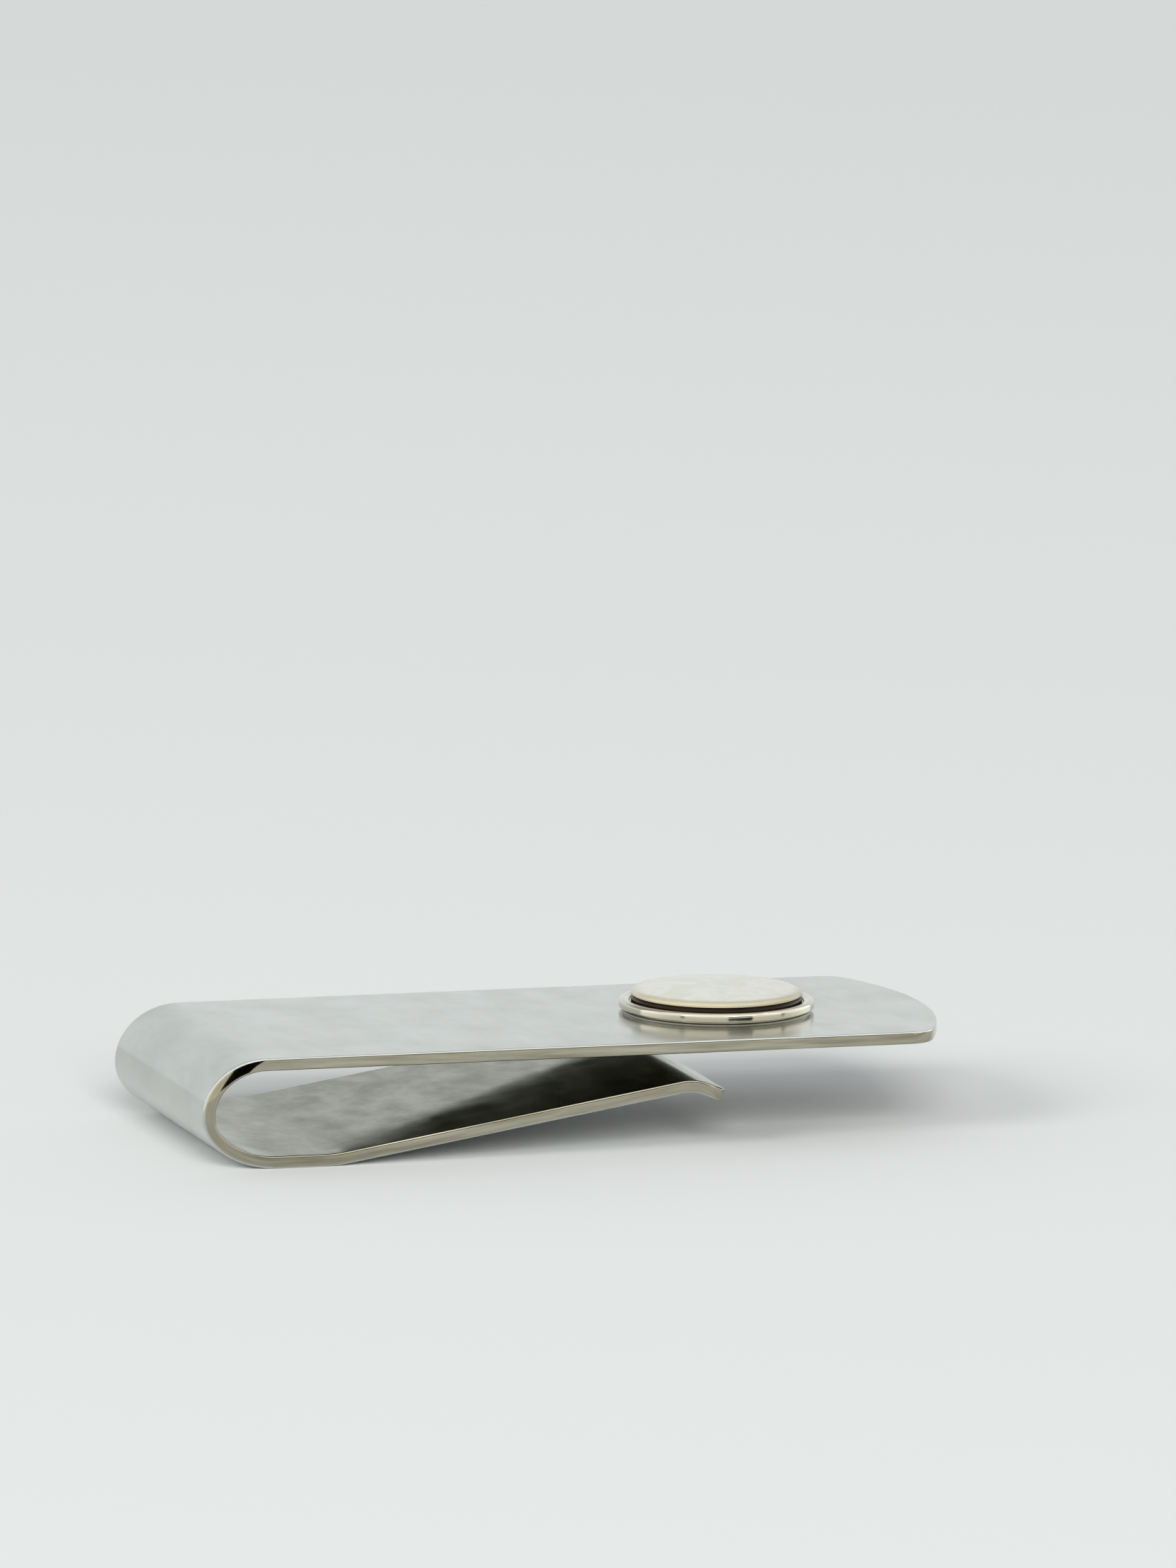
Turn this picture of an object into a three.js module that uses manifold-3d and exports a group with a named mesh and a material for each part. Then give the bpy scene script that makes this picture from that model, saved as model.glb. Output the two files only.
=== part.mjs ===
// A money clip: one strip of spring steel bent back under itself, with a round mother-of-pearl
// stud on its front plate. Millimetres, +Z up, +X from the fold to the plate's free end.
// The origin is under the middle of the clip, level with the underside of the heel.
//
// The strip is one piece of metal. It is drawn here as three lengths, so that the clip can open:
// the front plate with the upper half of the fold, the heel with the lower half of the fold,
// and the gripping leg with its crest and lip. Each meets the next across a narrow flexure gap.
import * as THREE from 'three';
import { mergeVertices } from 'three/addons/utils/BufferGeometryUtils.js';
import Module from 'manifold-3d';

const wasm = await Module();
wasm.setup();

// Driving dimensions: the strip.
const CLIP_LENGTH = 51; // from the outside of the fold to the crown of the free end
const STRIP_WIDTH = 21.5;
const STRIP_THICKNESS = 0.8;
const CLIP_HEIGHT = 7.15; // from the underside of the heel to the top of the front plate
const FOLD_SIDE_HEIGHT = 3.5; // height of the fold's outermost line above the heel's underside
const FOLD_UPPER_RUN = 4.2; // from the fold's outermost line to the start of the flat plate
const FOLD_LOWER_RUN = 5; // from the fold's outermost line to the start of the flat heel
const HEEL_REACH = 8; // from the fold's outermost line to the end of the flat heel
const HEEL_BEND_RADIUS = 10;
const CREST_REACH = 32.3; // from the fold's outermost line to the top of the crest
const CREST_RADIUS = 3;
const MOUTH_GAP = 1.75; // between the crest and the underside of the plate
const LIP_ANGLE = 23; // degrees below the plate
const LIP_LENGTH = 1.5;
const LIP_CORNER = 1.4;
const END_CROWN = 2.7; // how far the free end bulges beyond its corners
const END_CORNER = 2;

// Driving dimensions: the stud.
const STUD_SETBACK = 13.8; // from the crown of the free end to the middle of the stud
const RIM_DIAMETER = 12.6;
const RIM_WIDTH = 0.7;
const RIM_HEIGHT = 0.72;
const CUP_FLOOR = 0.25;
const CUP_FOOT_INSET = 0.3;
const CUP_FOOT_RISE = 0.15;
const RIM_ROLL_RISE = 0.18; // height of the rolled top of the rim
const SOLDER_THICKNESS = 0.1;
const SOLDER_INSET = 0.5; // inside the cup's foot
const PEARL_OVERHANG = 0.03; // how far the pearl stands out over the rim's inner edge
const PEARL_LIFT = 0.26; // height of the pearl's underside above the rim
const PEARL_SIDE = 0.12; // height of the chamfer round its underside
const PEARL_SHOULDER_RISE = 0.26;
const PEARL_SHOULDER_WIDTH = 0.75;
const PEARL_CROWN = 0.09;

// Clearances.
const FLEXURE_GAP = 0.3; // between two lengths of the strip
const BED_CLEARANCE = 0.1; // around the adhesive bed inside the cup

// Places of the flexures.
const LEG_FLEXURE_REACH = 16.5; // from the fold's outermost line to the leg's flexure

// Facets.
const ARC_STEP = 5; // degrees
const OUTLINE_SEGMENTS = 24;
const LATHE_SEGMENTS = 72;
const CORNER_STEPS = 6;
const CROWN_STEPS = 3;

const HALF = STRIP_THICKNESS / 2;
const FOLD_X = -CLIP_LENGTH / 2;
const PLATE_TOP = CLIP_HEIGHT;
const OVERSIZE = 5; // how far a cutting outline stands out beyond what it cuts

const radians = (degrees) => (degrees * Math.PI) / 180;

const steel = new THREE.MeshStandardMaterial({ color: 0xc6cac6, roughness: 0.16, metalness: 1 });
const rimMetal = new THREE.MeshStandardMaterial({ color: 0xd2cfc2, roughness: 0.14, metalness: 1 });
const solder = new THREE.MeshStandardMaterial({ color: 0x8f8f8a, roughness: 0.45, metalness: 1 });
const adhesive = new THREE.MeshStandardMaterial({ color: 0x1d140a, roughness: 0.35, metalness: 0 });
const pearl = new THREE.MeshStandardMaterial({ color: 0xe6e6dc, roughness: 0.2, metalness: 0 });

// A station is a point of the strip's mid-line, with the direction in which the strip runs there.
// The strip runs from the free end to the fold, round it, and back along the leg to the lip.
const station = (x, z, direction) => ({ x, z, direction });

// A quarter of an ellipse, from one angle to another, both measured at its middle.
function ellipseStations(cx, cz, a, b, from, to) {
  const count = Math.ceil(Math.abs(to - from) / radians(ARC_STEP));
  const stations = [];
  for (let i = 0; i <= count; i++) {
    const angle = from + ((to - from) * i) / count;
    const direction = Math.atan2(b * Math.cos(angle), -a * Math.sin(angle));
    stations.push(station(cx + a * Math.cos(angle), cz + b * Math.sin(angle), direction));
  }
  return stations;
}

// A bend of constant radius that starts at a station and turns by an angle, upwards if positive.
function bendStations(start, radius, turn) {
  const count = Math.ceil(Math.abs(turn) / radians(ARC_STEP));
  const side = Math.sign(turn);
  const cx = start.x - side * radius * Math.sin(start.direction);
  const cz = start.z + side * radius * Math.cos(start.direction);
  const stations = [];
  for (let i = 0; i <= count; i++) {
    const direction = start.direction + (turn * i) / count;
    const x = cx + side * radius * Math.sin(direction);
    const z = cz - side * radius * Math.cos(direction);
    stations.push(station(x, z, direction));
  }
  return stations;
}

// A straight run that starts at a station.
function along(start, length) {
  const x = start.x + length * Math.cos(start.direction);
  const z = start.z + length * Math.sin(start.direction);
  return station(x, z, start.direction);
}

// A closed mesh as a solid for cutting, and back again.
function toSolid(geometry) {
  geometry.deleteAttribute('normal');
  geometry.deleteAttribute('uv');
  const merged = mergeVertices(geometry);
  const vertProperties = new Float32Array(merged.attributes.position.array);
  const triVerts = new Uint32Array(merged.index.array);
  return new wasm.Manifold(new wasm.Mesh({ numProp: 3, vertProperties, triVerts }));
}

function toGeometry(solid) {
  const { vertProperties, triVerts } = solid.getMesh();
  const geometry = new THREE.BufferGeometry();
  geometry.setAttribute('position', new THREE.BufferAttribute(vertProperties, 3));
  geometry.setIndex(new THREE.BufferAttribute(triVerts, 1));
  geometry.computeVertexNormals();
  return geometry;
}

// A length of strip: its edge outline, offset either side of the mid-line, drawn across the width.
function stripSolid(stations) {
  const outer = stations.map(
    (s) => new THREE.Vector2(s.x + HALF * Math.sin(s.direction), s.z - HALF * Math.cos(s.direction)),
  );
  const inner = stations.map(
    (s) => new THREE.Vector2(s.x - HALF * Math.sin(s.direction), s.z + HALF * Math.cos(s.direction)),
  );
  const outline = new THREE.Shape([...outer, ...inner.reverse()]);
  const geometry = new THREE.ExtrudeGeometry(outline, { depth: STRIP_WIDTH, bevelEnabled: false });
  geometry.rotateX(Math.PI / 2);
  geometry.translate(0, STRIP_WIDTH / 2, 0);
  return toSolid(geometry);
}

// A strip's end seen from above: it bulges by a crown and its two corners are rounded.
// The outline reaches back past the start of the length that it trims.
function endOutline(backX, tipX, crown, corner) {
  const half = STRIP_WIDTH / 2;
  const arcRadius = crown > 0 ? (half * half + crown * crown) / (2 * crown) : 0;
  const shape = new THREE.Shape();
  shape.moveTo(backX, -half - OVERSIZE);
  if (crown > 0) {
    const centreX = tipX - arcRadius;
    const cornerY = half - corner;
    const cornerX = centreX + Math.sqrt((arcRadius - corner) ** 2 - cornerY ** 2);
    const lean = Math.atan2(cornerY, cornerX - centreX);
    shape.lineTo(cornerX, -half - OVERSIZE);
    shape.lineTo(cornerX, -half);
    shape.absarc(cornerX, -cornerY, corner, -Math.PI / 2, -lean, false);
    shape.absarc(centreX, 0, arcRadius, -lean, lean, false);
    shape.absarc(cornerX, cornerY, corner, lean, Math.PI / 2, false);
    shape.lineTo(cornerX, half + OVERSIZE);
  } else {
    shape.lineTo(tipX - corner, -half - OVERSIZE);
    shape.lineTo(tipX - corner, -half);
    shape.absarc(tipX - corner, -half + corner, corner, -Math.PI / 2, 0, false);
    shape.absarc(tipX - corner, half - corner, corner, 0, Math.PI / 2, false);
    shape.lineTo(tipX - corner, half + OVERSIZE);
  }
  shape.lineTo(backX, half + OVERSIZE);
  return shape;
}

// The strip's length trimmed to an end outline.
function trimmed(solid, outline) {
  const depth = CLIP_HEIGHT + 2 * OVERSIZE;
  const settings = { depth, bevelEnabled: false, curveSegments: OUTLINE_SEGMENTS };
  const cutter = new THREE.ExtrudeGeometry(outline, settings);
  cutter.translate(0, 0, -OVERSIZE);
  return solid.intersect(toSolid(cutter));
}

// The front plate: flat from the free end to the fold, then the fold's upper half.
function frontPlate() {
  const a = FOLD_UPPER_RUN - HALF;
  const b = CLIP_HEIGHT - FOLD_SIDE_HEIGHT - HALF;
  const stop = Math.PI - Math.asin(FLEXURE_GAP / 2 / b);
  const fold = ellipseStations(FOLD_X + FOLD_UPPER_RUN, FOLD_SIDE_HEIGHT, a, b, Math.PI / 2, stop);
  const end = station(CLIP_LENGTH / 2, CLIP_HEIGHT - HALF, Math.PI);
  const outline = endOutline(FOLD_X - OVERSIZE, CLIP_LENGTH / 2, END_CROWN, END_CORNER);
  return toGeometry(trimmed(stripSolid([end, ...fold]), outline));
}

// The leg's slope and straight length, from the heel's end, the crest's reach and the mouth gap.
const heelEnd = station(FOLD_X + HEEL_REACH, HALF, 0);
const crestMid = CLIP_HEIGHT - STRIP_THICKNESS - MOUTH_GAP - HALF;
const legRun = CREST_REACH - HEEL_REACH;
const legRise = crestMid - heelEnd.z;
const bends = HEEL_BEND_RADIUS + CREST_RADIUS;
const legLength = Math.sqrt(legRun ** 2 + (legRise - bends) ** 2 - bends ** 2);
const legSlope = Math.atan2(legRise - bends, legRun) + Math.atan2(bends, legLength);

// The heel's bend up into the leg, and how far along the leg its flexure comes.
const heelBend = bendStations(heelEnd, HEEL_BEND_RADIUS, legSlope);
const legStart = heelBend.at(-1);
const flexureAlong = (FOLD_X + LEG_FLEXURE_REACH - legStart.x) / Math.cos(legSlope);

// The heel: the fold's lower half, the flat that the clip rests on, and the root of the leg.
function heel() {
  const a = FOLD_LOWER_RUN - HALF;
  const b = FOLD_SIDE_HEIGHT - HALF;
  const start = Math.PI + Math.asin(FLEXURE_GAP / 2 / b);
  const foldX = FOLD_X + FOLD_LOWER_RUN;
  const fold = ellipseStations(foldX, FOLD_SIDE_HEIGHT, a, b, start, 1.5 * Math.PI);
  const root = along(legStart, flexureAlong - FLEXURE_GAP / 2);
  return toGeometry(stripSolid([...fold, ...heelBend, root]));
}

// The gripping leg: straight to the crest, over it, and down the short lip that lets notes in.
function grippingLeg() {
  const start = along(legStart, flexureAlong + FLEXURE_GAP / 2);
  const crest = bendStations(along(legStart, legLength), CREST_RADIUS, -legSlope - radians(LIP_ANGLE));
  const tip = along(crest.at(-1), LIP_LENGTH);
  const tipX = tip.x + HALF * Math.sin(-tip.direction);
  const outline = endOutline(start.x - OVERSIZE, tipX, 0, LIP_CORNER);
  return toGeometry(trimmed(stripSolid([start, ...crest, tip]), outline));
}

// The stud's levels above the plate, and its radii.
const cupBase = SOLDER_THICKNESS;
const rimTop = cupBase + RIM_HEIGHT;
const pearlBase = rimTop + PEARL_LIFT;
const rimRadius = RIM_DIAMETER / 2;
const recessRadius = rimRadius - RIM_WIDTH;
const pearlRadius = recessRadius + PEARL_OVERHANG;
const bedRadius = recessRadius - BED_CLEARANCE;
const footRadius = rimRadius - CUP_FOOT_INSET;

// A round piece of the stud, turned from a half-section of [radius, height] points.
function turned(section) {
  const points = section.map(([radius, height]) => new THREE.Vector2(radius, height));
  const geometry = new THREE.LatheGeometry(points, LATHE_SEGMENTS);
  geometry.rotateX(Math.PI / 2);
  return geometry;
}

// Points of a rounded corner of a section, on a quarter of an ellipse.
function roundedCorner(centreRadius, centreHeight, a, b, from, to) {
  const points = [];
  for (let i = 0; i <= CORNER_STEPS; i++) {
    const angle = radians(from + ((to - from) * i) / CORNER_STEPS);
    points.push([centreRadius + a * Math.cos(angle), centreHeight + b * Math.sin(angle)]);
  }
  return points;
}

// The film of solder that holds the cup to the plate.
function solderFilm() {
  const radius = footRadius - SOLDER_INSET;
  return turned([[0, 0], [radius, 0], [radius, SOLDER_THICKNESS], [0, SOLDER_THICKNESS]]);
}

// The pressed cup: a flat base whose wall stands up into a rolled rim.
function studCup() {
  const roll = RIM_WIDTH / 2;
  return turned([
    [0, cupBase],
    [footRadius, cupBase],
    [rimRadius, cupBase + CUP_FOOT_RISE],
    ...roundedCorner(rimRadius - roll, rimTop - RIM_ROLL_RISE, roll, RIM_ROLL_RISE, 0, 180),
    [recessRadius, cupBase + CUP_FLOOR],
    [0, cupBase + CUP_FLOOR],
  ]);
}

// The bed of dark adhesive, which shows as a line between the rim and the pearl.
function adhesiveBed() {
  const floor = cupBase + CUP_FLOOR;
  return turned([[0, floor], [bedRadius, floor], [bedRadius, pearlBase], [0, pearlBase]]);
}

// The pearl: a thin disc with a softly rounded shoulder and a slightly crowned top.
function pearlDisc() {
  const shoulderRadius = pearlRadius - PEARL_SHOULDER_WIDTH;
  const shoulderBase = pearlBase + PEARL_SIDE;
  const crown = [];
  for (let i = CROWN_STEPS - 1; i >= 0; i--) {
    const share = i / CROWN_STEPS;
    const rise = PEARL_CROWN * (1 - share ** 2);
    crown.push([shoulderRadius * share, shoulderBase + PEARL_SHOULDER_RISE + rise]);
  }
  return turned([
    [0, pearlBase],
    [pearlRadius - PEARL_SIDE, pearlBase],
    ...roundedCorner(shoulderRadius, shoulderBase, PEARL_SHOULDER_WIDTH, PEARL_SHOULDER_RISE, 0, 90),
    ...crown,
  ]);
}

function named(name, geometry, material) {
  const mesh = new THREE.Mesh(geometry, material);
  mesh.name = name;
  return mesh;
}

const clip = new THREE.Group();
clip.add(named('front_plate', frontPlate(), steel));
clip.add(named('heel', heel(), steel.clone()));
clip.add(named('gripping_leg', grippingLeg(), steel.clone()));

const stud = new THREE.Group();
stud.position.set(CLIP_LENGTH / 2 - STUD_SETBACK, 0, PLATE_TOP);
stud.add(named('solder_film', solderFilm(), solder));
stud.add(named('stud_cup', studCup(), rimMetal));
stud.add(named('adhesive_bed', adhesiveBed(), adhesive));
stud.add(named('pearl_disc', pearlDisc(), pearl));
clip.add(stud);

export default clip;
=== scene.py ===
import math

import bmesh
import bpy
from mathutils import Matrix, Vector


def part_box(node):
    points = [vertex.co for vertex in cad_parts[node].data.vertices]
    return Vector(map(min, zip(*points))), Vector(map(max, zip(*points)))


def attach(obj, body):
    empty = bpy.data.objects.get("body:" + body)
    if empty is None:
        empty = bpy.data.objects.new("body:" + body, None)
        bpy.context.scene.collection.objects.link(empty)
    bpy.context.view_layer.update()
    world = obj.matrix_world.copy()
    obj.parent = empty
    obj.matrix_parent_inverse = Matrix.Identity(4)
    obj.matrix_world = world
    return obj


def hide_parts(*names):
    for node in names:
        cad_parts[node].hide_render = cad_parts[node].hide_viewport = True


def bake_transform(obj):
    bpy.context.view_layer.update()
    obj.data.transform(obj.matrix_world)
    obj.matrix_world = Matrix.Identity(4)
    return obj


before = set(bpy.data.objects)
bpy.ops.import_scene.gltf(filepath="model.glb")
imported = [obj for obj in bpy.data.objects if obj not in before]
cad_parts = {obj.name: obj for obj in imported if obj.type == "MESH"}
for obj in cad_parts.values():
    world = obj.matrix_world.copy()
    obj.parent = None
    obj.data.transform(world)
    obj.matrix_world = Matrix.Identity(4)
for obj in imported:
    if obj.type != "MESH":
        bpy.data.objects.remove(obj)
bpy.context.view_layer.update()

# The spring strip: one length of stainless spring steel, blanked, tumbled and polished, then bent
# round the fold and over the crest. It is made flat here, wrapped onto its bent mid-line, and
# parted on the flat of the heel into two halves.
MM = 0.001
plate_low, plate_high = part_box("front_plate")
STRIP_WIDTH = plate_high.y - plate_low.y
CLIP_HEIGHT = plate_high.z
FREE_END = plate_high.x
FOLD_X = -FREE_END
STRIP_THICKNESS = 0.8 * MM
FOLD_SIDE_HEIGHT = 3.5 * MM
FOLD_UPPER_RUN = 4.2 * MM
FOLD_LOWER_RUN = 5 * MM
HEEL_REACH = 8 * MM
HEEL_BEND_RADIUS = 10 * MM
CREST_REACH = 32.3 * MM
CREST_RADIUS = 3 * MM
MOUTH_GAP = 1.75 * MM
LIP_ANGLE = math.radians(23)
LIP_LENGTH = 1.5 * MM
LIP_CORNER = 1.4 * MM
END_CROWN = 2.7 * MM
END_CORNER = 2 * MM
HALF = STRIP_THICKNESS / 2

# The mid-line's corners: each is a place, a heading in the XZ plane, and the lengths of its two
# Bezier handles. A quarter of an ellipse and a shallow arc are each one Bezier stretch.
QUARTER = 0.5523
CURVE_STEPS, LENGTH_STEPS = 64, 512


def arc_handle(radius, turn):
    """The Bezier handle that makes an arc of this radius and turn."""
    return 4 / 3 * math.tan(turn / 4) * radius


crest_z = CLIP_HEIGHT - STRIP_THICKNESS - MOUTH_GAP - HALF
leg_run = CREST_REACH - HEEL_REACH
leg_drop = crest_z - HALF - HEEL_BEND_RADIUS - CREST_RADIUS
both_radii = HEEL_BEND_RADIUS + CREST_RADIUS
leg_length = math.sqrt(leg_run**2 + leg_drop**2 - both_radii**2)
leg_slope = math.atan2(leg_drop, leg_run) + math.atan2(both_radii, leg_length)
heel_x = FOLD_X + HEEL_REACH
crest_x = FOLD_X + CREST_REACH
crest_centre_z = crest_z - CREST_RADIUS
heel_turn = arc_handle(HEEL_BEND_RADIUS, leg_slope)
crest_turn = arc_handle(CREST_RADIUS, leg_slope + LIP_ANGLE)
leg_start = (heel_x + HEEL_BEND_RADIUS * math.sin(leg_slope),
             HALF + HEEL_BEND_RADIUS * (1 - math.cos(leg_slope)))
crest_start = (crest_x - CREST_RADIUS * math.sin(leg_slope),
               crest_centre_z + CREST_RADIUS * math.cos(leg_slope))
crest_end = (crest_x + CREST_RADIUS * math.sin(LIP_ANGLE),
             crest_centre_z + CREST_RADIUS * math.cos(LIP_ANGLE))
lip_tip = (crest_end[0] + LIP_LENGTH * math.cos(LIP_ANGLE),
           crest_end[1] - LIP_LENGTH * math.sin(LIP_ANGLE))
STRAIGHT = 0.5 * MM
upper_run, upper_rise = FOLD_UPPER_RUN - HALF, CLIP_HEIGHT - FOLD_SIDE_HEIGHT - HALF
lower_run, lower_rise = FOLD_LOWER_RUN - HALF, FOLD_SIDE_HEIGHT - HALF
corners = [
    ((FREE_END, CLIP_HEIGHT - HALF), math.pi, STRAIGHT, STRAIGHT),
    ((FOLD_X + FOLD_UPPER_RUN, CLIP_HEIGHT - HALF), math.pi, STRAIGHT, QUARTER * upper_run),
    ((FOLD_X + HALF, FOLD_SIDE_HEIGHT), -math.pi / 2, QUARTER * upper_rise, QUARTER * lower_rise),
    ((FOLD_X + FOLD_LOWER_RUN, HALF), 0, QUARTER * lower_run, STRAIGHT),
    ((heel_x, HALF), 0, STRAIGHT, heel_turn),
    (leg_start, leg_slope, heel_turn, STRAIGHT),
    (crest_start, leg_slope, STRAIGHT, crest_turn),
    (crest_end, -LIP_ANGLE, crest_turn, STRAIGHT),
    (lip_tip, -LIP_ANGLE, STRAIGHT, STRAIGHT),
]
bpy.ops.object.select_all(action="DESELECT")
bpy.ops.curve.primitive_bezier_curve_add()
mid_line = bpy.context.object
mid_line.data.resolution_u = CURVE_STEPS
mid_line.data.twist_mode = "MINIMUM"
spline = mid_line.data.splines[0]
spline.bezier_points.add(len(corners) - len(spline.bezier_points))
for point, (place, heading, back, ahead) in zip(spline.bezier_points, corners):
    place = Vector((place[0], 0, place[1]))
    along = Vector((math.cos(heading), 0, math.sin(heading)))
    point.handle_left_type = point.handle_right_type = "FREE"
    point.co = place
    point.handle_left = place - back * along
    point.handle_right = place + ahead * along
blank_length = spline.calc_length(resolution=LENGTH_STEPS)


def select_only(piece):
    """Nothing but this piece is selected, and it is the active one."""
    bpy.ops.object.select_all(action="DESELECT")
    piece.select_set(True)
    bpy.context.view_layer.objects.active = piece


def select_faces(piece, chosen):
    """In edit mode, the faces for which chosen(face) is true are selected, and nothing else."""
    bpy.ops.mesh.select_mode(type="FACE")
    bpy.ops.mesh.select_all(action="DESELECT")
    shape = bmesh.from_edit_mesh(piece.data)
    for face in shape.faces:
        face.select_set(chosen(face))
    shape.select_flush_mode()
    bmesh.update_edit_mesh(piece.data)


def select_edges(piece, chosen):
    """In edit mode, the edges for which chosen(edge) is true are selected, and nothing else."""
    bpy.ops.mesh.select_mode(type="EDGE")
    bpy.ops.mesh.select_all(action="DESELECT")
    shape = bmesh.from_edit_mesh(piece.data)
    for edge in shape.edges:
        edge.select_set(chosen(edge))
    shape.select_flush_mode()
    bmesh.update_edit_mesh(piece.data)


def apply_modifier(piece, kind, **settings):
    """Adds a modifier with its settings, and applies it."""
    select_only(piece)
    modifier = piece.modifiers.new(kind, kind)
    for name, value in settings.items():
        setattr(modifier, name, value)
    bpy.ops.object.modifier_apply(modifier=modifier.name)


def arc(centre_x, centre_y, radius, start, end, steps):
    """Points along an arc in the flat, its angles in degrees."""
    angles = [math.radians(start + (end - start) * i / steps) for i in range(steps + 1)]
    return [(centre_x + radius * math.cos(a), centre_y + radius * math.sin(a), 0) for a in angles]


# The blank's outline, seen from above, with the crowned free end at X 0 and the lip's end last.
CROWN_STEPS, CORNER_STEPS = 48, 12
half_width = STRIP_WIDTH / 2
crown_radius = (half_width**2 + END_CROWN**2) / (2 * END_CROWN)
corner_y = half_width - END_CORNER
corner_x = crown_radius - math.sqrt((crown_radius - END_CORNER) ** 2 - corner_y**2)
lean = math.degrees(math.atan2(corner_y, crown_radius - corner_x))
lip_x, lip_y = blank_length - LIP_CORNER, half_width - LIP_CORNER
outline = (
    arc(crown_radius, 0, crown_radius, 180 - lean, 180 + lean, CROWN_STEPS)
    + arc(corner_x, -corner_y, END_CORNER, 180 + lean, 270, CORNER_STEPS)[1:]
    + arc(lip_x, -lip_y, LIP_CORNER, -90, 0, CORNER_STEPS)
    + arc(lip_x, lip_y, LIP_CORNER, 0, 90, CORNER_STEPS)
    + arc(corner_x, corner_y, END_CORNER, 90, 180 - lean, CORNER_STEPS)[:-1]
)
sheet = bpy.data.meshes.new("strip")
sheet.from_pydata(outline, [], [range(len(outline))])
strip = bpy.data.objects.new("strip", sheet)
bpy.context.scene.collection.objects.link(strip)
select_only(strip)
bpy.ops.object.mode_set(mode="EDIT")
bpy.ops.mesh.select_all(action="SELECT")
bpy.ops.transform.translate(value=(0, 0, -HALF))
bpy.ops.mesh.extrude_region_move(TRANSFORM_OT_translate={"value": (0, 0, STRIP_THICKNESS)})
bpy.ops.mesh.select_all(action="SELECT")
bpy.ops.mesh.normals_make_consistent(inside=False)

# Tumbling has rounded every edge of the blank.
EDGE_ROUND, EDGE_SEGMENTS = 0.13 * MM, 5
select_edges(strip, lambda edge: abs(edge.verts[0].co.z - edge.verts[1].co.z) < HALF / 2)
bpy.ops.mesh.bevel(offset=EDGE_ROUND, segments=EDGE_SEGMENTS, profile=0.5, affect="EDGES")

# Cross cuts let the blank bend: close in the fold and the crest, wider where the leg flexes.
fold_start = FREE_END - (FOLD_X + FOLD_UPPER_RUN)
FOLD_STEP, FLEX_STEP, CREST_STEP = 0.12 * MM, 0.4 * MM, 0.08 * MM
SAME_PLACE = 1e-7


def mid_line_length(first, last):
    """The length of the mid-line between two of its corners."""
    points = spline.bezier_points[first:last + 1]
    total = 0.0
    for a, b in zip(points, points[1:]):
        walk = bpy.data.curves.new("walk", "CURVE")
        walk.dimensions = "3D"
        stretch = walk.splines.new("BEZIER")
        stretch.bezier_points.add(1)
        for to, source in zip(stretch.bezier_points, (a, b)):
            to.co = source.co
            to.handle_left, to.handle_right = source.handle_left, source.handle_right
        total += stretch.calc_length(resolution=LENGTH_STEPS)
        bpy.data.curves.remove(walk)
    return total


fold_end = mid_line_length(0, 3)
heel_end = mid_line_length(0, 4)
crest_from = mid_line_length(0, 6)
crest_to = mid_line_length(0, 7)
seam = (fold_end + heel_end) / 2


def cuts(start, end, step):
    """Evenly spaced places from one place to another, both included, about a step apart."""
    count = math.ceil((end - start) / step)
    return [start + (end - start) * i / count for i in range(count + 1)]


stations = (cuts(fold_start, fold_end, FOLD_STEP) + [seam] + cuts(heel_end, crest_from, FLEX_STEP)
            + cuts(crest_from, crest_to, CREST_STEP)[1:])
for x in stations:
    bpy.ops.mesh.select_all(action="SELECT")
    bpy.ops.mesh.bisect(plane_co=(x, 0, 0), plane_no=(1, 0, 0), threshold=SAME_PLACE)

# Bending draws the outer side of the fold in and pushes its inner side out, so that the cut edges
# lean there by a few degrees.
EDGE_LEAN, LEAN_RAMP = 0.2, 8
shape = bmesh.from_edit_mesh(strip.data)
for vertex in shape.verts:
    share = (vertex.co.x - fold_start) / (fold_end - fold_start)
    if 0 < share < 1 and abs(vertex.co.y) > half_width - 2 * EDGE_ROUND:
        ramp = min(1, LEAN_RAMP * share, LEAN_RAMP * (1 - share))
        vertex.co.y -= EDGE_LEAN * ramp * vertex.co.z * math.copysign(1, vertex.co.y)
bmesh.update_edit_mesh(strip.data)

# The flat pattern's own place, in millimetres, is kept as the UV map, so that polishing lines and
# smudges follow the metal round its bends. Each face takes its finish before the bending.
POLISHED, INNER, CUT_EDGE, SHADED_UNDERSIDE = range(4)
FACES_INWARD, FACES_OUTWARD = -0.8, 0.2
PAINTED_SHADE_SHARE = 0.3
bpy.ops.object.mode_set(mode="OBJECT")
flat = strip.data.uv_layers.new(name="flat_pattern")
for loop in strip.data.loops:
    place = strip.data.vertices[loop.vertex_index].co
    flat.data[loop.index].uv = (place.x / MM, (place.y + place.z) / MM)


def node(tree, kind, inputs=None, **settings):
    """Adds a node to a material with its settings, and links or sets its inputs."""
    made = tree.nodes.new(kind)
    for name, value in settings.items():
        setattr(made, name, value)
    for name, value in (inputs or {}).items():
        if isinstance(value, bpy.types.NodeSocket):
            tree.links.new(value, made.inputs[name])
        else:
            made.inputs[name].default_value = value
    return made


def linear(colour, alpha=1.0):
    """A colour written as sRGB hex, as linear red, green, blue and alpha."""
    shares = [int(colour[i:i + 2], 16) / 255 for i in (0, 2, 4)]
    return (*[c / 12.92 if c <= 0.04045 else ((c + 0.055) / 1.055) ** 2.4 for c in shares], alpha)


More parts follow.
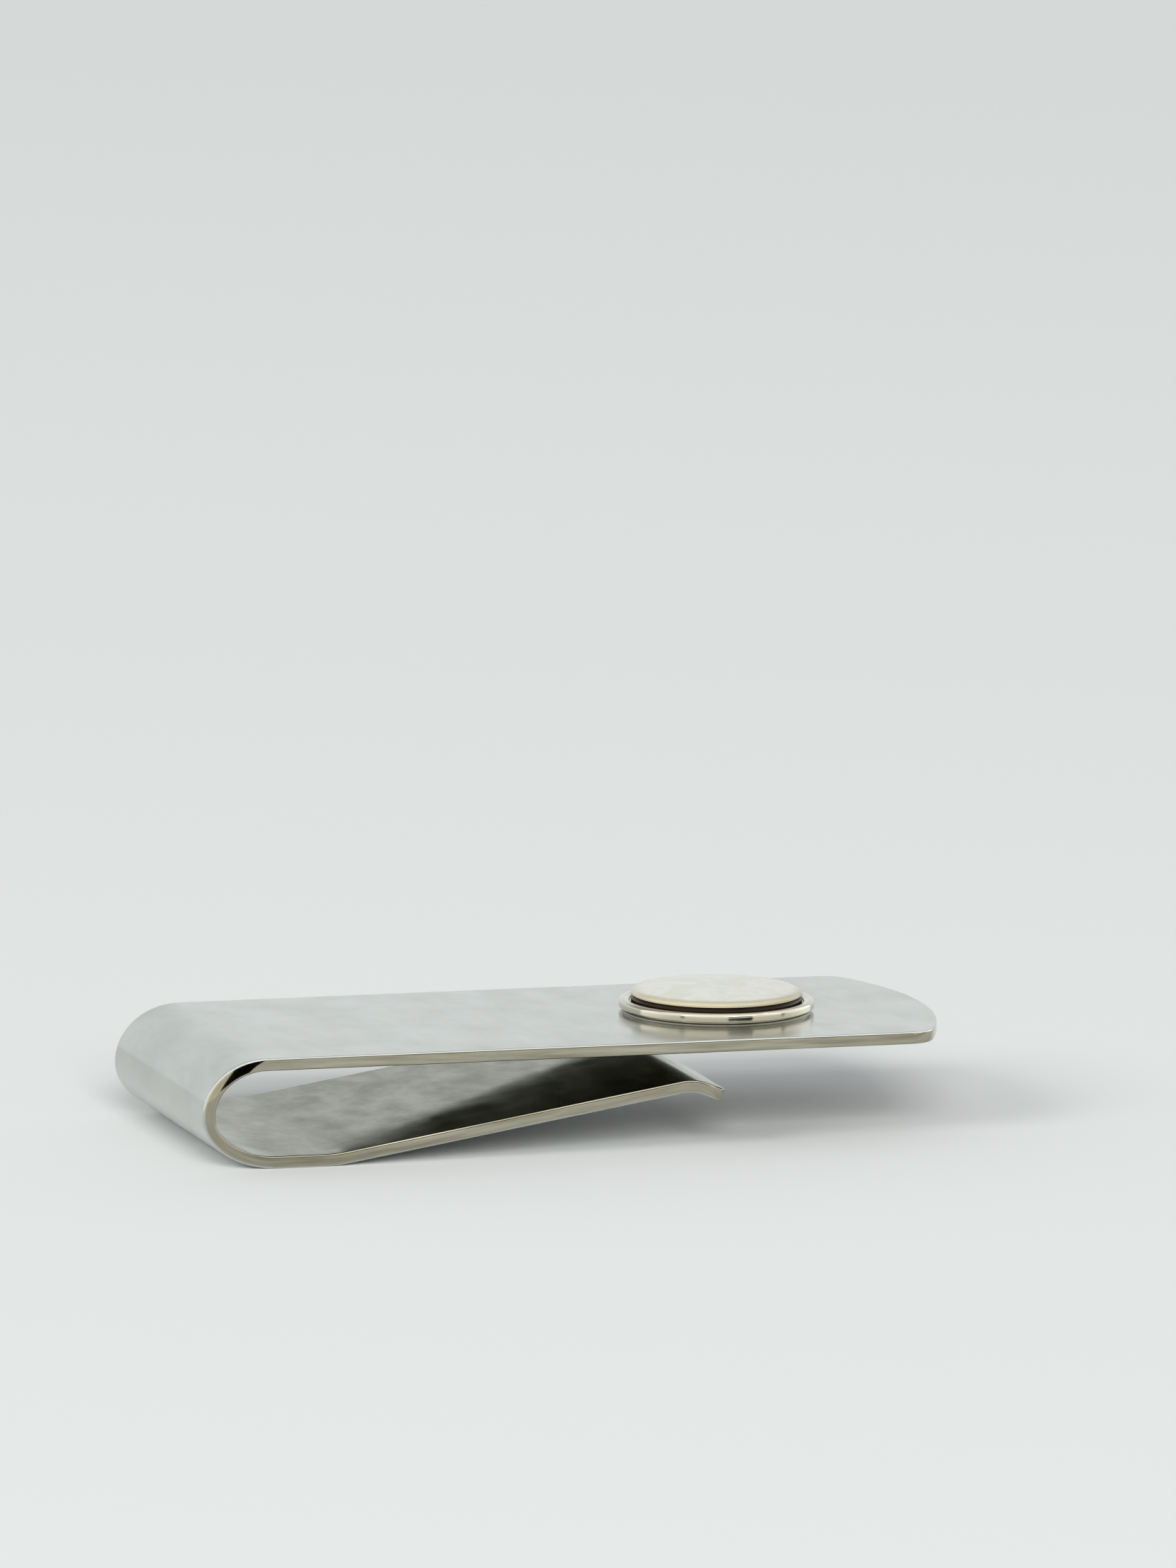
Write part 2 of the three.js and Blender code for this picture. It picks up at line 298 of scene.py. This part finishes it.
def new_material(name):
    """A material with an empty node tree but for its output and its shader."""
    made = bpy.data.materials.new(name)
    made.use_nodes = True
    tree = made.node_tree
    tree.nodes.clear()
    shader = node(tree, "ShaderNodeBsdfPrincipled")
    out = node(tree, "ShaderNodeOutputMaterial")
    tree.links.new(shader.outputs["BSDF"], out.inputs["Surface"])
    return made, tree, shader


# The steel's patterns, in repeats per millimetre along the strip and across it.
SMUDGES, WAVES = 0.22, 0.18
POLISHING_LINES = (0.25, 9)


def steel(name, colours, glancing, patch, grain, roughness, ripple, scratch):
    """Stainless steel: a tone mottled in patches this many millimetres long, polishing lines along
    the strip, and a slight ripple. The lines are a few hundredths of a millimetre apart, too fine
    to show, and are drawn about a tenth apart."""
    made, tree, shader = new_material(name)
    shader.inputs["Metallic"].default_value = 1
    shader.inputs["Specular Tint"].default_value = linear(glancing)
    pattern = node(tree, "ShaderNodeUVMap", uv_map="flat_pattern").outputs["UV"]
    across = node(tree, "ShaderNodeMapping", {"Vector": pattern, "Scale": (*grain, 1)})
    cloud = node(tree, "ShaderNodeTexNoise", {"Vector": across.outputs["Vector"],
                 "Scale": 1 / patch, "Detail": 5, "Roughness": 0.6})
    share = node(tree, "ShaderNodeMapRange",
                 {"Value": cloud.outputs["Fac"], "From Min": 0.35, "From Max": 0.65})
    tone = node(tree, "ShaderNodeMix",
                {"Factor": share.outputs["Result"], "A": linear(colours[0]),
                 "B": linear(colours[1])}, data_type="RGBA")
    tree.links.new(tone.outputs["Result"], shader.inputs["Base Color"])
    smudge = node(tree, "ShaderNodeTexNoise",
                  {"Vector": pattern, "Scale": SMUDGES, "Detail": 3, "Roughness": 0.5})
    gloss = node(tree, "ShaderNodeMapRange",
                 {"Value": smudge.outputs["Fac"], "From Min": 0.3, "From Max": 0.7,
                  "To Min": roughness[0], "To Max": roughness[1]})
    tree.links.new(gloss.outputs["Result"], shader.inputs["Roughness"])
    stretched = node(tree, "ShaderNodeMapping", {"Vector": pattern, "Scale": (*POLISHING_LINES, 1)})
    lines = node(tree, "ShaderNodeTexNoise",
                 {"Vector": stretched.outputs["Vector"], "Scale": 1, "Detail": 2})
    line_bump = node(tree, "ShaderNodeBump",
                     {"Height": lines.outputs["Fac"], "Distance": scratch, "Strength": 1})
    waves = node(tree, "ShaderNodeTexNoise", {"Vector": pattern, "Scale": WAVES, "Detail": 1})
    wave_bump = node(tree, "ShaderNodeBump",
                     {"Height": waves.outputs["Fac"], "Distance": ripple, "Strength": 1,
                      "Normal": line_bump.outputs["Normal"]})
    tree.links.new(wave_bump.outputs["Normal"], shader.inputs["Normal"])
    return made


# What this gives the eye: the stud's side, polished and then carried in a pocket, is an even pale
# grey whose reflections are soft. The inside was left as it came from the mill, so it is glossier,
# cloudy and darker. The plate's own underside is the same mill finish made darker still, as painted
# shade for the narrow gap between the plate and the leg. The cut edges, tumbled but not polished,
# are streaked along their length, and their warmer, darker tone is a painted reflection of the dim,
# warm room in front.
finishes = [
    steel("polished_stainless_steel", ("C5C8C4", "BABDB8"), glancing="FFFFFF", patch=2.5,
          grain=(1, 0.4), roughness=(0.14, 0.24), ripple=0.004 * MM, scratch=0.00003 * MM),
    steel("mill_finish_stainless_steel", ("AFB0A8", "7F7F77"), glancing="DCDDD8", patch=2.4,
          grain=(1, 0.6), roughness=(0.06, 0.16), ripple=0.003 * MM, scratch=0.00003 * MM),
    # The edges' warmer, darker tone is a painted reflection of the dim warm room in front; the streaks
    # are the tumbled finish.
    steel("tumbled_steel_edge_painted_reflection", ("BCB7A6", "948F7C"), glancing="FFFFFF", patch=1.2,
          grain=(0.15, 2.4), roughness=(0.06, 0.16), ripple=0.003 * MM, scratch=0.00004 * MM),
    # Painted shade: the plate's underside is a darker copy of the mill finish, for the gap under the
    # plate.
    steel("mill_finish_steel_painted_gap_shade", ("7A7A73", "5F5F59"), glancing="8E8F89", patch=1.6,
          grain=(1, 0.4), roughness=(0.12, 0.24), ripple=0.003 * MM, scratch=0.00003 * MM),
]
for finish in finishes:
    strip.data.materials.append(finish)
# The plate's underside, out to the start of the fold's inner side, takes the darker copy as painted
# shade.
painted_shade_end = fold_start + PAINTED_SHADE_SHARE * (fold_end - fold_start)
for face in strip.data.polygons:
    if face.normal.z < FACES_INWARD and face.center.x < painted_shade_end:
        face.material_index = SHADED_UNDERSIDE
    elif face.normal.z < FACES_INWARD:
        face.material_index = INNER
    elif face.normal.z < FACES_OUTWARD:
        face.material_index = CUT_EDGE
    else:
        face.material_index = POLISHED

# The two halves are parted on the flat of the heel, and each is closed there.
STRIP_SHARP = math.radians(40)
bpy.ops.object.mode_set(mode="EDIT")
select_faces(strip, lambda face: face.calc_center_median().x > seam)
bpy.ops.mesh.separate(type="SELECTED")
bpy.ops.object.mode_set(mode="OBJECT")
leg_half = next(o for o in bpy.context.selected_objects if o != strip)
strip.name, leg_half.name = "strip_plate_and_fold", "strip_gripping_leg"
for half in (strip, leg_half):
    select_only(half)
    bpy.ops.object.mode_set(mode="EDIT")
    select_edges(half, lambda edge: edge.is_boundary)
    bpy.ops.mesh.edge_face_add()
    bpy.ops.object.mode_set(mode="OBJECT")
    apply_modifier(half, "CURVE", object=mid_line, deform_axis="POS_X")
    half.data.polygons.foreach_set("use_smooth", [True] * len(half.data.polygons))
    bpy.ops.object.shade_smooth_by_angle(angle=STRIP_SHARP)
    apply_modifier(half, "WEIGHTED_NORMAL", keep_sharp=True, weight=100)
bpy.data.objects.remove(mid_line)
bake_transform(strip)
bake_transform(leg_half)
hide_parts("front_plate", "heel")
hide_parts("gripping_leg")

# The solder film: soft solder that has flowed between the cup and the plate, and stands round the
# cup's foot as a thin dull fillet.
cup_low, cup_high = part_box("stud_cup")
film_low, film_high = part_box("solder_film")
stud_x = (cup_low.x + cup_high.x) / 2
RIM_RADIUS = (cup_high.x - cup_low.x) / 2
FOOT_RADIUS = RIM_RADIUS - 0.3 * MM
FILLET, FILM_INSET = 0.12 * MM, 0.5 * MM
SOLDER_GRAIN = 6000
ROUND_STEPS = 144


def turned(name, section):
    """A piece turned from a half-section of (radius, height) points, from axis to axis."""
    edge = bpy.data.meshes.new(name)
    places = [(radius, 0, height) for radius, height in section]
    edge.from_pydata(places, [(i, i + 1) for i in range(len(places) - 1)], [])
    piece = bpy.data.objects.new(name, edge)
    bpy.context.scene.collection.objects.link(piece)
    select_only(piece)
    bpy.ops.object.mode_set(mode="EDIT")
    bpy.ops.mesh.select_all(action="SELECT")
    bpy.ops.mesh.spin(steps=ROUND_STEPS, angle=math.tau, center=(0, 0, 0), axis=(0, 0, 1))
    bpy.ops.mesh.select_all(action="SELECT")
    bpy.ops.mesh.remove_doubles(threshold=SAME_PLACE)
    bpy.ops.mesh.select_all(action="SELECT")
    bpy.ops.mesh.normals_make_consistent(inside=False)
    bpy.ops.transform.translate(value=(stud_x, 0, 0))
    bpy.ops.object.mode_set(mode="OBJECT")
    return piece


def bow(centre, height, across, up, start, end, steps):
    """Points of a section on part of an ellipse, its angles in degrees."""
    angles = [math.radians(start + (end - start) * i / steps) for i in range(steps + 1)]
    return [(centre + across * math.cos(a), height + up * math.sin(a)) for a in angles]


film_top = film_high.z
solder = turned("solder_fillet", [
    (0, film_low.z),
    (FOOT_RADIUS - FILM_INSET, film_low.z),
    *bow(FOOT_RADIUS - FILLET * 0.2, film_low.z, FILLET, film_top - film_low.z, 0, 60, 5),
    (FOOT_RADIUS - FILM_INSET, film_top),
    (0, film_top),
])


def soft_solder():
    """Soft solder, flowed and cooled: it gives the eye a dull grey seam with a fine grain."""
    made, tree, shader = new_material("flowed_soft_solder")
    shader.inputs["Metallic"].default_value = 1
    place = node(tree, "ShaderNodeTexCoord").outputs["Object"]
    grain = node(tree, "ShaderNodeTexNoise", {"Vector": place, "Scale": SOLDER_GRAIN, "Detail": 3})
    tone = node(tree, "ShaderNodeMix", {"Factor": grain.outputs["Fac"],
                "A": linear("8E8E88"), "B": linear("A9A8A0")}, data_type="RGBA")
    tree.links.new(tone.outputs["Result"], shader.inputs["Base Color"])
    shader.inputs["Roughness"].default_value = 0.42
    bump = node(tree, "ShaderNodeBump", {"Height": grain.outputs["Fac"], "Distance": 0.004 * MM})
    tree.links.new(bump.outputs["Normal"], shader.inputs["Normal"])
    return made


solder.data.materials.append(soft_solder())
solder.data.polygons.foreach_set("use_smooth", [True] * len(solder.data.polygons))
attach(solder, "plate")
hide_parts("solder_film")

# The stud's cup: a dish pressed from thin brass and plated bright, with its rim rolled over.
RIM_WIDTH = 0.7 * MM
CUP_FLOOR, FOOT_ROUND = 0.25 * MM, 0.1 * MM
PLATING_CLOUDS = 700
TURNED_SHARP = math.radians(35)
RIM_ROLL, RIM_SIDE, RIM_UNDER = 0.24 * MM, 0.26 * MM, 0.12 * MM
cup_top, cup_base = cup_high.z, cup_low.z
roll_centre = RIM_RADIUS - RIM_WIDTH / 2
cup = turned("stud_cup_rim", [
    (0, cup_base),
    (FOOT_RADIUS - FOOT_ROUND, cup_base),
    *bow(FOOT_RADIUS - FOOT_ROUND, cup_base + FOOT_ROUND, FOOT_ROUND, FOOT_ROUND, -80, 0, 6),
    *bow(roll_centre, cup_top - RIM_ROLL - RIM_SIDE, RIM_WIDTH / 2, RIM_UNDER, -75, 0, 8),
    *bow(roll_centre, cup_top - RIM_ROLL, RIM_WIDTH / 2, RIM_ROLL, 0, 180, 28),
    (RIM_RADIUS - RIM_WIDTH, cup_base + CUP_FLOOR),
    (0, cup_base + CUP_FLOOR),
])


def bright_plating():
    """Bright nickel plating over brass: it gives the eye warm, nearly sharp reflections that waver
    a little, where the rim was polished unevenly."""
    made, tree, shader = new_material("bright_nickel_plating")
    shader.inputs["Metallic"].default_value = 1
    place = node(tree, "ShaderNodeTexCoord").outputs["Object"]
    cloud = node(tree, "ShaderNodeTexNoise", {"Vector": place, "Scale": PLATING_CLOUDS, "Detail": 4})
    tone = node(tree, "ShaderNodeMix", {"Factor": cloud.outputs["Fac"],
                "A": linear("D4D1C5"), "B": linear("C6C1B0")}, data_type="RGBA")
    tree.links.new(tone.outputs["Result"], shader.inputs["Base Color"])
    gloss = node(tree, "ShaderNodeMapRange", {"Value": cloud.outputs["Fac"],
                 "To Min": 0.04, "To Max": 0.12})
    tree.links.new(gloss.outputs["Result"], shader.inputs["Roughness"])
    bump = node(tree, "ShaderNodeBump", {"Height": cloud.outputs["Fac"], "Distance": 0.003 * MM})
    tree.links.new(bump.outputs["Normal"], shader.inputs["Normal"])
    return made


cup.data.materials.append(bright_plating())
select_only(cup)
bpy.ops.object.shade_smooth_by_angle(angle=TURNED_SHARP)
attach(cup, "plate")
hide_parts("stud_cup")

# The adhesive bed: dark epoxy that fills the cup and stands a little above the rim, where it shows
# as a glossy line under the pearl. Its near-black is partly the epoxy's own dark colour and partly
# painted shade for the groove between the pearl and the rim.
bed_low, bed_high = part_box("adhesive_bed")
BED_RADIUS = (bed_high.x - bed_low.x) / 2
WAIST, BEAD_HALF, BEAD_OUT = 0.06 * MM, 0.12 * MM, 0.03 * MM
EPOXY_CLOUDS = 900
bed = turned("adhesive_bed_bead", [
    (0, bed_low.z),
    (BED_RADIUS, bed_low.z),
    (BED_RADIUS, cup_top - BEAD_HALF),
    *bow(BED_RADIUS + BEAD_OUT, (cup_top + bed_high.z) / 2, -WAIST, BEAD_HALF, -80, 80, 8),
    (BED_RADIUS, bed_high.z),
    (0, bed_high.z),
])


def dark_epoxy():
    """Cured epoxy with dark filler, sunk in a groove: it gives the eye a line that is nearly black,
    with a brown cast and a faint gloss. Its darkness and its lowered gloss are partly painted shade
    for the groove between the pearl and the rim."""
    made, tree, shader = new_material("cured_epoxy_painted_groove_shade")
    place = node(tree, "ShaderNodeTexCoord").outputs["Object"]
    cloud = node(tree, "ShaderNodeTexNoise", {"Vector": place, "Scale": EPOXY_CLOUDS, "Detail": 3})
    tone = node(tree, "ShaderNodeMix", {"Factor": cloud.outputs["Fac"],
                "A": linear("0C0602"), "B": linear("1F1206")}, data_type="RGBA")
    tree.links.new(tone.outputs["Result"], shader.inputs["Base Color"])
    shader.inputs["Roughness"].default_value = 0.3
    shader.inputs["IOR"].default_value = 1.45
    # Painted shade: the gloss is lowered, as for a groove in shade.
    shader.inputs["Specular IOR Level"].default_value = 0.25
    bump = node(tree, "ShaderNodeBump", {"Height": cloud.outputs["Fac"], "Distance": 0.03 * MM})
    tree.links.new(bump.outputs["Normal"], shader.inputs["Normal"])
    return made


bed.data.materials.append(dark_epoxy())
select_only(bed)
bpy.ops.object.shade_smooth_by_angle(angle=TURNED_SHARP)
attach(bed, "plate")
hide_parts("adhesive_bed")

# The pearl: a disc of white mother-of-pearl, ground flat below, with a softly rounded shoulder and
# a slight crown, polished and set on the adhesive.
pearl_low, pearl_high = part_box("pearl_disc")
PEARL_RADIUS = (pearl_high.x - pearl_low.x) / 2 - 0.1 * MM
PEARL_SIDE, PEARL_UNDER = 0.12 * MM, 0.05 * MM
SHOULDER_WIDTH, SHOULDER_RISE, CROWN = 0.75 * MM, 0.26 * MM, 0.09 * MM
shoulder = PEARL_RADIUS - SHOULDER_WIDTH
side_top = pearl_low.z + PEARL_SIDE
crown_steps = 8
NACRE_DRIFT, NACRE_CLOUDS = 260, 420
disc = turned("pearl_disc_polished", [
    (0, pearl_low.z),
    (PEARL_RADIUS - PEARL_UNDER, pearl_low.z),
    *bow(PEARL_RADIUS - PEARL_UNDER, pearl_low.z + PEARL_UNDER, PEARL_UNDER, PEARL_UNDER, -80, -10, 6),
    *bow(shoulder, side_top, SHOULDER_WIDTH, SHOULDER_RISE, 0, 82, 20),
    *[(shoulder * i / crown_steps, side_top + SHOULDER_RISE + CROWN * (1 - (i / crown_steps) ** 2))
      for i in range(crown_steps - 1, -1, -1)],
])


def mother_of_pearl():
    """Polished nacre: its thin layers give the eye a white clouded with cream, green and pink. Its
    shoulder is blended to beige towards the rim, as painted shade and warm reflection on the sloping
    shoulder. The layers are under a thousandth of a millimetre thick, too fine to show, so only the
    clouds they make are drawn."""
    made, tree, shader = new_material("polished_mother_of_pearl")
    place = node(tree, "ShaderNodeTexCoord").outputs["Object"]
    drift = node(tree, "ShaderNodeTexNoise", {"Vector": place, "Scale": NACRE_DRIFT, "Detail": 2})
    bent = node(tree, "ShaderNodeMix", {"Factor": 0.0012, "A": place,
                "B": drift.outputs["Color"]}, data_type="VECTOR")
    bent_place = bent.outputs[1]
    layers = node(tree, "ShaderNodeTexNoise", {"Vector": bent_place, "Scale": NACRE_CLOUDS, "Detail": 4,
                  "Distortion": 1.2})
    ramp = node(tree, "ShaderNodeValToRGB", {"Fac": layers.outputs["Fac"]})
    stops = [(0.3, "C9C2AB"), (0.45, "C6C9BB"), (0.55, "D3D1C5"), (0.68, "D1C5B6")]
    while len(ramp.color_ramp.elements) < len(stops):
        ramp.color_ramp.elements.new(0.5)
    for element, (position, colour) in zip(ramp.color_ramp.elements, stops):
        element.position, element.color = position, linear(colour)
    centred = node(tree, "ShaderNodeMapping", {"Vector": place, "Location": (-stud_x, 0, 0),
                   "Scale": (1, 1, 0)})
    reach = node(tree, "ShaderNodeVectorMath", {0: centred.outputs["Vector"]}, operation="LENGTH")
    # Painted shade: the shoulder is blended to beige from the crown's edge out to the rim.
    edge = node(tree, "ShaderNodeMapRange", {"Value": reach.outputs["Value"],
                "From Min": shoulder, "From Max": PEARL_RADIUS}, interpolation_type="SMOOTHSTEP")
    tone = node(tree, "ShaderNodeMix", {"Factor": edge.outputs["Result"],
                "A": ramp.outputs["Color"], "B": linear("AEA78F")}, data_type="RGBA")
    tree.links.new(tone.outputs["Result"], shader.inputs["Base Color"])
    shader.inputs["Roughness"].default_value = 0.22
    shader.inputs["IOR"].default_value = 1.6
    shader.inputs["Coat Weight"].default_value = 0.3
    shader.inputs["Coat Roughness"].default_value = 0.06
    shader.inputs["Subsurface Weight"].default_value = 0.3
    shader.inputs["Subsurface Radius"].default_value = (0.0009, 0.0007, 0.0005)
    shader.inputs["Subsurface Scale"].default_value = 1.0
    bump = node(tree, "ShaderNodeBump", {"Height": layers.outputs["Fac"], "Distance": 0.01 * MM})
    tree.links.new(bump.outputs["Normal"], shader.inputs["Normal"])
    return made


disc.data.materials.append(mother_of_pearl())
disc.data.polygons.foreach_set("use_smooth", [True] * len(disc.data.polygons))
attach(disc, "plate")
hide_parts("pearl_disc")

# The floor: a wide sheet of matt pale paper that the clip's heel stands on. It gives the eye a
# nearly even light grey, a little cool.
FLOOR_SIZE = 30
bpy.ops.object.select_all(action="DESELECT")
bpy.ops.mesh.primitive_plane_add(size=FLOOR_SIZE, location=(0, 0, 0))
floor = bpy.context.object
floor.name = "pale_floor"
paper, paper_tree, paper_shader = new_material("matt_pale_paper")
paper_shader.inputs["Base Color"].default_value = linear("DFE2E3")
paper_shader.inputs["Roughness"].default_value = 0.9
paper_shader.inputs["Specular IOR Level"].default_value = 0.2
floor.data.materials.append(paper)

# Soft light in a pale room: windows in front and on the left cast the shadow to the right, and the
# metal mirrors pale walls and a ceiling. A stand covered in black felt, which gives nothing back,
# is in front and out of the camera's sight, and puts the few small dark reflections in the metal.
room = bpy.data.worlds.new("pale_room")
bpy.context.scene.world = room
room.use_nodes = True
room_tree = room.node_tree
backdrop = room_tree.nodes["Background"]
heading = node(room_tree, "ShaderNodeTexCoord").outputs["Generated"]
parts = node(room_tree, "ShaderNodeSeparateXYZ", {"Vector": heading})
turn = node(room_tree, "ShaderNodeMapRange", {"Value": parts.outputs["Y"],
            "From Min": -0.45, "From Max": 0.5}, interpolation_type="SMOOTHSTEP")
walls = node(room_tree, "ShaderNodeMix", {"Factor": turn.outputs["Result"],
             "A": linear("98958E"), "B": linear("F0F4F4")}, data_type="RGBA")
height = node(room_tree, "ShaderNodeMapRange", {"Value": parts.outputs["Z"],
              "From Min": 0.3, "From Max": 0.6}, interpolation_type="SMOOTHSTEP")
ceiling = node(room_tree, "ShaderNodeMix", {"Factor": height.outputs["Result"],
               "A": walls.outputs["Result"], "B": linear("A8AAAA")}, data_type="RGBA")
room_tree.links.new(ceiling.outputs["Result"], backdrop.inputs["Color"])
backdrop.inputs["Strength"].default_value = 1.0


def aim(thing, target):
    """Turns a light or a camera so that it looks at a place."""
    thing.rotation_euler = (Vector(target) - thing.location).to_track_quat("-Z", "Y").to_euler()


def soft_light(name, azimuth, height, distance, size, power, colour):
    """A square area light aimed at the clip, its bearing taken from the front."""
    light = bpy.data.lights.new(name, "AREA")
    light.size = size
    light.energy = power
    light.color = linear(colour)[:3]
    lamp = bpy.data.objects.new(name, light)
    bpy.context.scene.collection.objects.link(lamp)
    lamp.visible_camera = False
    around, up = math.radians(azimuth), math.radians(height)
    lamp.location = (distance * math.sin(around) * math.cos(up),
                     -distance * math.cos(around) * math.cos(up), distance * math.sin(up))
    aim(lamp, (0, 0, 0))
    return lamp


WINDOW_DISTANCE = 4.5
window = soft_light("window_light", azimuth=-12, height=24, distance=WINDOW_DISTANCE, size=1.9,
                    power=192, colour="FFFEFA")
window.visible_glossy = False
side_window = soft_light("side_window_light", azimuth=-62, height=27, distance=WINDOW_DISTANCE,
                         size=1.6, power=95, colour="FFFEFA")
side_window.visible_glossy = False
WALL_DISTANCE, WALL_SIZE, WALL_POWER, CEILING_POWER = 1.9, 2.2, 12.5, 14
WALL_HEIGHT, CEILING_HEIGHT = 30, 85
sides = [(bearing, WALL_HEIGHT, WALL_POWER) for bearing in (-88, -25, 38, 101)]
for bearing, rise, power in [*sides, (0, CEILING_HEIGHT, CEILING_POWER)]:
    wall = soft_light("pale_wall", bearing, rise, WALL_DISTANCE, WALL_SIZE, power, "FFFCF4")
    wall.visible_diffuse = False
STAND_PLACE, STAND_TURN, STAND_SIZE = (0.18, -0.75, 0.16), math.radians(13), (0.34, 1, 0.3)
bpy.ops.object.select_all(action="DESELECT")
bpy.ops.mesh.primitive_plane_add(size=1, location=STAND_PLACE,
                                 rotation=(math.pi / 2, 0, STAND_TURN))
stand = bpy.context.object
stand.name = "dark_stand"
bpy.ops.transform.resize(value=STAND_SIZE)
felt, felt_tree, felt_shader = new_material("black_felt")
felt_shader.inputs["Base Color"].default_value = linear("0A0908")
felt_shader.inputs["Roughness"].default_value = 1
felt_shader.inputs["Specular IOR Level"].default_value = 0
stand.data.materials.append(felt)
stand.visible_camera = False
stand.visible_shadow = False
stand.visible_diffuse = False

# The camera stands low in front, a little to the left, and looks over the clip.
CAMERA_AZIMUTH, CAMERA_ELEVATION = math.radians(-16.165), math.radians(10.09)
CAMERA_ROLL = math.radians(0.5)
CAMERA_LENS, LONG_SIDE = 700, 2212
SENSOR = 36
SCALE = 21950
focal = CAMERA_LENS / SENSOR * LONG_SIDE
clip_middle = Vector((0, 0, CLIP_HEIGHT / 2))
SHIFT_ASIDE, SHIFT_BELOW = 62.6, 406.7
camera = bpy.data.objects.new("camera", bpy.data.cameras.new("camera"))
bpy.context.scene.collection.objects.link(camera)
bpy.context.scene.camera = camera
camera.data.lens = CAMERA_LENS
camera.data.sensor_width = SENSOR
camera.data.clip_start = 0.01
camera.data.clip_end = 100
backward = Vector((math.sin(CAMERA_AZIMUTH) * math.cos(CAMERA_ELEVATION),
                   -math.cos(CAMERA_AZIMUTH) * math.cos(CAMERA_ELEVATION),
                   math.sin(CAMERA_ELEVATION)))
camera.location = clip_middle + backward * focal / SCALE
camera.rotation_euler = (
    backward.to_track_quat("Z", "Y").to_matrix().to_4x4()
    @ Matrix.Rotation(-math.atan(SHIFT_ASIDE / focal), 4, "Y")
    @ Matrix.Rotation(math.atan(SHIFT_BELOW / focal), 4, "X")
    @ Matrix.Rotation(CAMERA_ROLL, 4, "Z")
).to_euler()
bpy.context.scene.view_settings.view_transform = "Standard"
